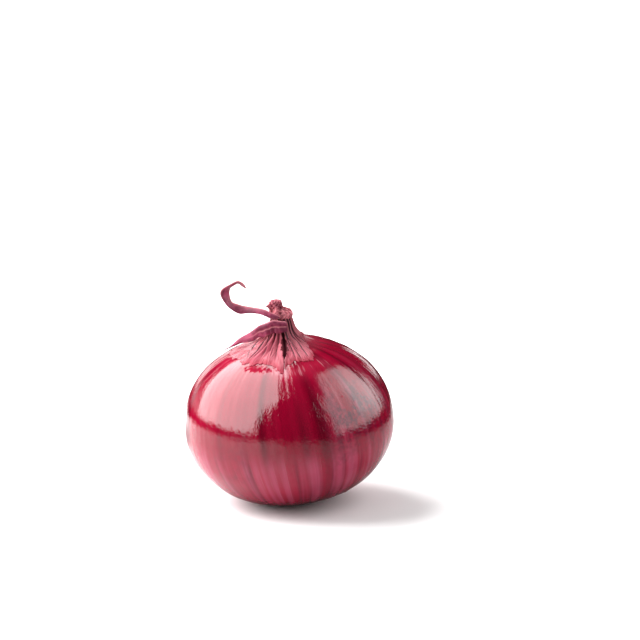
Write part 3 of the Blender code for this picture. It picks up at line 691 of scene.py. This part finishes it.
# The two dry leaves
leaf = {
    # the curled leaf's lower and upper edge from the neck to the hooked tip, how far its middle bellies out,
    # and the shares of its way between which it flattens
    "lower": [(-0.6, -5.3, 43.5), (-2.9, -5.2, 43.4), (-5.7, -4.2, 44.3), (-8.8, -2.9, 45.5),
              (-12.7, -1.9, 45.7), (-16.3, -1.6, 45.7), (-19.3, -1.5, 47.5), (-21.5, -1.6, 50.2),
              (-23.1, -1.8, 53.4), (-22.8, -1.8, 55.6), (-19.9, -1.0, 57.3), (-16.2, 0.4, 58.3),
              (-14.0, 1.1, 57.1), (-12.9, 1.6, 55.0)],
    "upper": [(-0.6, -4.9, 44.2), (-3.0, -4.2, 45.5), (-5.9, -2.8, 46.7), (-9.0, -1.0, 47.2),
              (-12.6, 0.3, 47.5), (-15.7, 1.0, 48.3), (-18.4, 1.6, 49.1), (-19.5, 2.0, 50.6),
              (-19.8, 2.3, 53.1), (-19.4, 2.4, 54.9), (-18.5, 1.8, 56.0), (-16.2, 1.3, 57.1),
              (-14.8, 1.5, 56.2), (-13.4, 1.9, 54.8)],
    "belly": 1.2, "flattens": (0.85, 0.6), "thickness": 0.00036,
    "roughness": 0.42, "ior": 1.45, "specular": 0.3, "bump": 0.00018,
    "maroon": (0.125, 0.009, 0.034), "rose": (0.29, 0.038, 0.088), "rim": (0.60, 0.21, 0.24),
}
shoulder = {
    # its free edge, from the front of the neck round to the left and down
    "free": [(1.6, -5.3, 41.8), (0.6, -5.8, 42.4), (-0.9, -6.1, 43.0), (-2.6, -6.0, 43.1),
             (-4.4, -5.4, 42.8), (-6.6, -3.9, 41.5), (-9.2, -1.5, 39.6), (-12.5, 1.6, 36.9),
             (-15.7, 3.6, 34.6), (-18.3, 4.4, 32.9), (-21.0, 5.0, 30.7), (-23.0, 5.4, 28.9)],
    # longitude in degrees and radius of the line where it lies on the skin
    "foot": [(20, 4.6), (8, 4.8), (-4, 4.9), (-18, 5.0), (-36, 5.1), (-62, 6.2), (-84, 8.8), (-94, 12.0),
             (-99, 15.4), (-102, 18.4), (-103, 21.2), (-104, 23.6)],
    "lift": 1.45,
    # the upper half of its width rolls outward: where the roll starts, its height, and where along it ends
    "rollFrom": 0.45, "roll": 0.75, "rollEnds": (0.75, 0.45),
}


def leafMaterial():
    material, tree, shader = newMaterial("dryLeaf", leaf["roughness"], leaf["ior"])
    shader.inputs["Specular IOR Level"].default_value = leaf["specular"]
    across = addNode(tree, "ShaderNodeUVMap", uv_map="surface").outputs[0]
    place = addNode(tree, "ShaderNodeVectorMath", {0: across, 1: (26.0, 2.2, 1.0)}, operation="MULTIPLY")
    noise = addNode(tree, "ShaderNodeTexNoise", {"Vector": place.outputs[0], "Scale": 1.0, "Detail": 3.0})
    veins = noise.outputs["Fac"]
    patches = placeNoise(tree, 260, 3.0)
    colour = blend(tree, band(tree, patches, 0.40, 0.66), leaf["maroon"], leaf["rose"])
    colour = blend(tree, band(tree, veins, 0.50, 0.74, 0.0, 0.6), colour, leaf["rose"])
    colour = blend(tree, attribute(tree, "rim"), colour, leaf["rim"])
    setColour(tree, shader, colour)
    addBump(tree, shader, veins, leaf["bump"])
    return material


def makeLeaves():
    material = leafMaterial()
    u = np.linspace(0, 1, 17)[None, :]
    v = np.linspace(0, 1, 150)[:, None]
    # curled leaf: between two edge curves, its middle bellied to the front and down
    lower, upper = spline(leaf["lower"], v), spline(leaf["upper"], v)
    belly = leaf["belly"] * 4 * u * (1 - u) * np.sin(np.pi * v) ** 0.6 * ramp(v, *leaf["flattens"])
    middle = lower + (upper - lower) * u[..., None]
    middle[..., 1] -= belly - 0.25 * np.sin(9 * v + 4 * u) * u + 0.12 * np.sin(38 * v + 2) * (u - 0.4)
    middle[..., 2] -= 0.45 * belly - 0.10 * np.sin(46 * v) * np.abs(2 * u - 1) ** 4
    rim = np.clip(np.abs(2 * u - 1) ** 6 + 0.6 * ramp(v, 0.72, 0.95), 0, 1)
    mesh = surface("curledLeaf", atRest(middle), lines={"rim": rim})
    piece = addPiece("curledLeaf", mesh, "dry_leaf", material, "dry_leaf_curled")
    thicken(piece, leaf["thickness"], 0)
    # shoulder leaf: from a line on the skin to its free edge
    bearing, radius = np.moveaxis(spline(shoulder["foot"], v), -1, 0)
    foot = skin(np.radians(bearing), wayToTop(radius), shoulder["lift"])
    free = spline(shoulder["free"], v)
    reach = (u * (1 - 0.7 * ramp(v, 0.85, 1)))[..., None]
    points = foot + (free - foot) * reach
    points[..., 1] -= 0.35 * np.sin(np.pi * u) + 0.12 * np.sin(31 * v + 3 * u)
    points[..., 2] += 0.16 * np.sin(27 * v) * u
    rolled = ramp(v, *shoulder["rollEnds"])
    roll = np.sin(np.pi * ramp(u, shoulder["rollFrom"], 1.2)) * (u > shoulder["rollFrom"])
    outward = (foot / np.linalg.norm(foot * [1, 1, 0], axis=-1, keepdims=True)) * [1, 1, 0]
    points += outward * (shoulder["roll"] * roll * rolled)[..., None]
    pale = np.exp(-(((u - shoulder["rollFrom"] - 0.06) / 0.05) ** 2)) * rolled
    rim = np.clip(ramp(u, 0.90, 1.0) * 0.8 + 0.9 * pale, 0, 1)
    mesh = surface("shoulderLeaf", atRest(points), lines={"rim": rim})
    piece = addPiece("shoulderLeaf", mesh, "dry_leaf", material, "dry_leaf_shoulder")
    thicken(piece, leaf["thickness"], 0)
    print("leaves: 2")


# Root plate and roots
root = {
    "plate": [(0, -31.6), (2.6, -31.7), (3.7, -31.95), (3.5, -32.15), (0, -32.2)],
    "plateMiddle": -31.9, "count": 44, "fan": math.radians(42), "start": 2.0, "reach": (8, 23),
    "sway": 0.35, "curl": 0.12, "thick": (0.12, 0.26), "clearance": 0.40, "points": 30, "sides": 7,
    "straw": (0.42, 0.27, 0.12), "brown": (0.13, 0.06, 0.03), "light": (0.62, 0.48, 0.30),
    "roughness": 0.75, "ior": 1.4, "bump": 0.0002,
}


def rootMaterial():
    material, tree, shader = newMaterial("dryRoots", root["roughness"], root["ior"])
    patches = placeNoise(tree, 420, 3.0)
    fibres = placeNoise(tree, 1500, 3.0)
    colour = blend(tree, band(tree, patches, 0.38, 0.64), root["brown"], root["straw"])
    colour = blend(tree, band(tree, fibres, 0.55, 0.75), colour, root["light"])
    setColour(tree, shader, colour)
    addBump(tree, shader, fibres, root["bump"])
    return material


def tubes(centres, radii):
    # round sections across each line of centres (lines, points, 3), square to it
    along = np.gradient(centres, axis=1)
    along /= np.linalg.norm(along, axis=-1, keepdims=True)
    side = np.cross(along, [0.0, 0.0, 1.0])
    side /= np.linalg.norm(side, axis=-1, keepdims=True)
    up = np.cross(side, along)
    around = np.linspace(0, 2 * np.pi, root["sides"], endpoint=False)
    ring = np.cos(around)[:, None] * side[:, :, None] + np.sin(around)[:, None] * up[:, :, None]
    return centres[:, :, None] + ring * radii[:, :, None, None]


def makeRoots():
    # each root runs out from the plate between the floor and the underside of the bulb
    draw = np.random.default_rng(11)
    count = root["count"]
    v = np.linspace(0, 1, root["points"])[None, :]
    number = np.arange(count)[:, None]
    bearing = onion["rootSide"] + root["fan"] * (2 * (number + draw.uniform(0, 1, (count, 1))) / count - 1)
    reach = draw.uniform(*root["reach"], (count, 1))
    sway = draw.uniform(-root["sway"], root["sway"], (count, 1))
    phase = draw.uniform(0, 2 * np.pi, (count, 1))
    climb = draw.uniform(0.0, 0.75, (count, 1))
    thick = draw.uniform(*root["thick"], (count, 1)) * unit
    radius = root["start"] + (reach - root["start"]) * v
    longitude = bearing + sway * v + root["curl"] * np.sin(6 * v + phase) * v
    longitude = longitude + 0.05 * np.sin(17 * v + 2 * phase) * v
    centres = atRest(skin(longitude, wayToUnderside(radius), root["clearance"]))
    lowest = 0.0003 + thick
    room = np.maximum(centres[..., 2] - thick - lowest, 0)
    lift = climb * np.sin(0.8 * np.pi * v) * ramp(v, 0, 0.5)
    lift = lift + 0.12 * np.sin(13 * v + phase) ** 2 * ramp(v, 0.3, 0.6)
    centres[..., 2] = lowest + room * np.clip(lift, 0, 1)
    plateHeight = atRest(np.array([[0, 0, root["plateMiddle"]]]))[0, 2]
    centres[..., 2] += (plateHeight - centres[..., 2]) * ramp(v, 0.12, 0)
    radii = thick * (1 - 0.6 * v) * (1 + 0.12 * np.sin(23 * v + phase))
    radii[:, -1] *= 0.05
    rings = tubes(centres, radii)
    meshes = [surface(f"root{line}", rings[line], wrap=True) for line in range(count)]
    profile = spline(root["plate"], np.linspace(0, 1, 40))
    bearing = np.linspace(0, 2 * np.pi, 90, endpoint=False)
    swell = 1 + 0.05 * np.sin(13 * bearing) + 0.03 * np.sin(31 * bearing)
    plate = np.stack([profile[:, :1] * swell * np.cos(bearing), profile[:, :1] * swell * np.sin(bearing),
                      profile[:, 1:] + 0.0 * bearing], -1)
    meshes.append(surface("plate", atRest(plate), wrap=True, poles=True))
    mesh = joined("roots", meshes)
    addPiece("rootTuft", mesh, "roots", rootMaterial(), "roots")
    print("roots:", count)


# Floor, light and camera
studio = {
    # the floor's colour, the darker one that matt light bounces off, and the distances between which it
    # brightens into the white ground
    "floorSize": 12.0, "floorColour": (0.86, 0.86, 0.86), "bounceColour": (0.62, 0.62, 0.62),
    "floorRoughness": 0.6, "nearFloor": 0.35, "farFloor": 1.2, "floorGlow": 1.6,
    # radiance of the world for matt light, of what is dark in the mirrored rays, of the pale horizon, and what
    # the horizon gains towards the left
    "fill": 0.50, "dim": 0.02, "horizonGlow": 1.5, "horizonLeft": 1.2,
    # the floor that the skin mirrors is painted darker in front and on the right, in the shadow of the onion,
    # close under it, and behind on the left, in the shade of other onions that are not built: direction, where
    # the shade starts and ends, least and most; then the same by the distance from a place; last, the levels
    # between which the mirrored floor gives way to the horizon
    "shaded": ((0.90, -0.25, 0.0), -0.070, 0.070, 0.05, 0.58),
    "under": ((0.008, 0.0, 0.0), 0.052, 0.018, 0.85),
    # behind on the left: painted shade of other onions, which are not built
    "behind": ((-0.066, 0.090, 0.0), 0.050, 0.020, 0.60), "floorEnds": (0.036, 0.042),
    # what the skin mirrors: softboxes with their radiance and soft edge, each bounded by planes through the
    # onion; inside is below 0
    "boxes": [
        (7.8, 0.03, [(0.732, -0.636, -0.245), (0.990, -0.125, 0.059), (-0.045, 0, -0.999),
                     (0.285, 0.621, -0.731)]),
        (3.2, 0.05, [(-0.845, -0.401, 0.353), (-0.607, -0.776, -0.172), (-0.880, 0.423, 0.217),
                     (-0.600, 0.785, -0.153), (-0.101, -0.047, -0.994)]),
        # the bright middle of the right box
        (2.6, 0.20, [(-0.574, 0.819, 0), (-0.087, -0.996, 0), (0.20, 0.05, -0.98), (-0.80, -0.20, 0.57)]),
        (2.6, 0.02, [(-0.978, 0.208, 0), (0.899, -0.438, 0), (0, 0.061, -0.998), (0, -0.208, 0.978)]),
        # the sweep behind on the left that whitens the rim, and its soft glow
        (1.7, 0.03, [(-0.654, -0.350, 0.671), (1, -0.035, 0), (0, -0.276, 0.961), (0, -0.173, -0.985)]),
        (1.0, 0.10, [(0.951, 0.309, 0), (-0.5, -0.866, 0), (0.10, -0.12, 0.987), (0.055, -0.068, -0.996)]),
    ],
    "horizon": (0.010, 0.035, 1.0), "horizonHeight": -0.138,
    # azimuth and elevation in degrees, half sizes, distance and radiance of the lamps that light the onion
    # and floor, and the height that they face
    "lamps": [("leftLamp", -66, 36, 0.50, 0.60, 0.9, 10.8), ("rightLamp", 92, 40, 0.40, 0.45, 0.9, 2.0)],
    "lampAim": 0.033,
    "camera": {"distance": 0.9, "elevation": math.radians(14), "pitch": math.radians(11.488),
               "yaw": math.radians(0.815), "focal": 126.2, "sensor": 36, "reach": 20},
}


def addLamp(name, azimuth, elevation, halfWidth, halfHeight, distance, radiance):
    # a rectangle that faces the onion; azimuth 0 is straight away from the camera and grows to the right
    azimuth, elevation = math.radians(azimuth), math.radians(elevation)
    light = bpy.data.lights.new(name, "AREA")
    light.shape = "RECTANGLE"
    light.size, light.size_y = 2 * halfWidth, 2 * halfHeight
    light.energy = radiance * math.pi * light.size * light.size_y
    lamp = bpy.data.objects.new(name, light)
    bpy.context.scene.collection.objects.link(lamp)
    out = Vector((math.sin(azimuth) * math.cos(elevation), math.cos(azimuth) * math.cos(elevation),
                  math.sin(elevation)))
    lamp.location = Vector((0, 0, studio["lampAim"])) + distance * out
    lamp.rotation_euler = out.to_track_quat("Z", "Y").to_euler()
    lamp.visible_glossy = False


def makeFloor():
    # white enough to vanish in the ground, matt, and shaded in the mirrored rays
    bpy.ops.mesh.primitive_plane_add(size=studio["floorSize"], location=(0, 0, 0))
    floor = bpy.context.object
    floor.name = "paleFloor"
    material, tree, shader = newMaterial("paleFloor", studio["floorRoughness"])
    matt = addNode(tree, "ShaderNodeLightPath").outputs["Is Diffuse Ray"]
    setColour(tree, shader, blend(tree, matt, studio["floorColour"], studio["bounceColour"]))
    shader.inputs["Specular IOR Level"].default_value = 0.0
    shader.inputs["Emission Color"].default_value = (1, 1, 1, 1)
    place = addNode(tree, "ShaderNodeTexCoord").outputs["Object"]
    away = measure(tree, "LENGTH", place)
    glow = band(tree, away, studio["nearFloor"], studio["farFloor"], 0.0, studio["floorGlow"])
    tree.links.new(glow, shader.inputs["Emission Strength"])
    # to the mirrored rays the floor ends where the world's horizon crosses it
    across, back, _ = studio["horizon"]
    level = measure(tree, "DOT_PRODUCT", place, (across, back, 0))
    level = plus(tree, level, times(tree, away, -studio["horizonHeight"]))
    shade = band(tree, level, *studio["floorEnds"])
    direction, start, end, least, most = studio["shaded"]
    aside = measure(tree, "DOT_PRODUCT", place, direction)
    shade = larger(tree, shade, band(tree, aside, start, end, least, most))
    for centre, start, end, most in (studio["under"], studio["behind"]):
        near = measure(tree, "DISTANCE", place, centre)
        shade = larger(tree, shade, band(tree, near, start, end, 0.0, most))
    mirrored = addNode(tree, "ShaderNodeLightPath").outputs["Is Glossy Ray"]
    dark = addNode(tree, "ShaderNodeEmission", {"Strength": studio["dim"]})
    mix = addNode(tree, "ShaderNodeMixShader", {0: times(tree, shade, mirrored), 1: shader.outputs[0],
                                                2: dark.outputs[0]})
    tree.links.new(mix.outputs[0], tree.nodes["Material Output"].inputs["Surface"])
    floor.data.materials.append(material)


def sideOf(tree, toward, plane, level, soft):
    # 1 where the direction lies on the inner side of a plane, soft across its edge
    return band(tree, measure(tree, "DOT_PRODUCT", toward, plane), level + soft, level - soft)


def makeWorld():
    # white to the camera, an even fill for the matt light, and to the mirrored rays the softboxes, the sweep
    # behind and a pale horizon that is brighter on the left
    world = bpy.data.worlds.new("studio")
    bpy.context.scene.world = world
    world.use_nodes = True
    tree = world.node_tree
    toward = addNode(tree, "ShaderNodeTexCoord").outputs["Generated"]
    low = sideOf(tree, toward, studio["horizon"], studio["horizonHeight"], 0.01)
    left = sideOf(tree, toward, (1.0, 0.0, 0.0), 0.0, 0.5)
    glow = plus(tree, times(tree, left, studio["horizonLeft"]), studio["horizonGlow"])
    light = plus(tree, times(tree, low, glow), studio["dim"])
    for radiance, soft, planes in studio["boxes"]:
        share = radiance
        for plane in planes:
            share = times(tree, sideOf(tree, toward, plane, 0.0, soft), share)
        light = plus(tree, light, share)
    path = addNode(tree, "ShaderNodeLightPath").outputs
    mirrored = addNode(tree, "ShaderNodeMix", {0: path["Is Glossy Ray"], 2: studio["fill"], 3: light})
    seen = addNode(tree, "ShaderNodeMix", {0: path["Is Camera Ray"], 2: mirrored.outputs[0], 3: 1.0})
    tree.links.new(seen.outputs[0], tree.nodes["Background"].inputs["Strength"])
    tree.nodes["Background"].inputs["Color"].default_value = (1, 1, 1, 1)


def makeStudio():
    makeFloor()
    makeWorld()
    for lamp in studio["lamps"]:
        addLamp(*lamp)
    print("studio: floor, world,", len(studio["lamps"]), "lamps")


def makeCamera():
    view = studio["camera"]
    camera = bpy.data.cameras.new("camera")
    camera.lens = view["focal"]
    camera.sensor_width = view["sensor"]
    holder = bpy.data.objects.new("camera", camera)
    bpy.context.scene.collection.objects.link(holder)
    back = -math.cos(view["elevation"]) * view["distance"]
    up = math.sin(view["elevation"]) * view["distance"]
    holder.location = shift + np.array([0, back, up])
    holder.rotation_euler = Euler((math.pi / 2 - view["pitch"], 0, -view["yaw"]))
    camera.clip_end = view["reach"]
    bpy.context.scene.camera = holder
    bpy.context.scene.view_settings.view_transform = "Standard"


makeCamera()
makeBulb()
makePaper()
makeNeck()
makeLeaves()
makeRoots()
makeStudio()
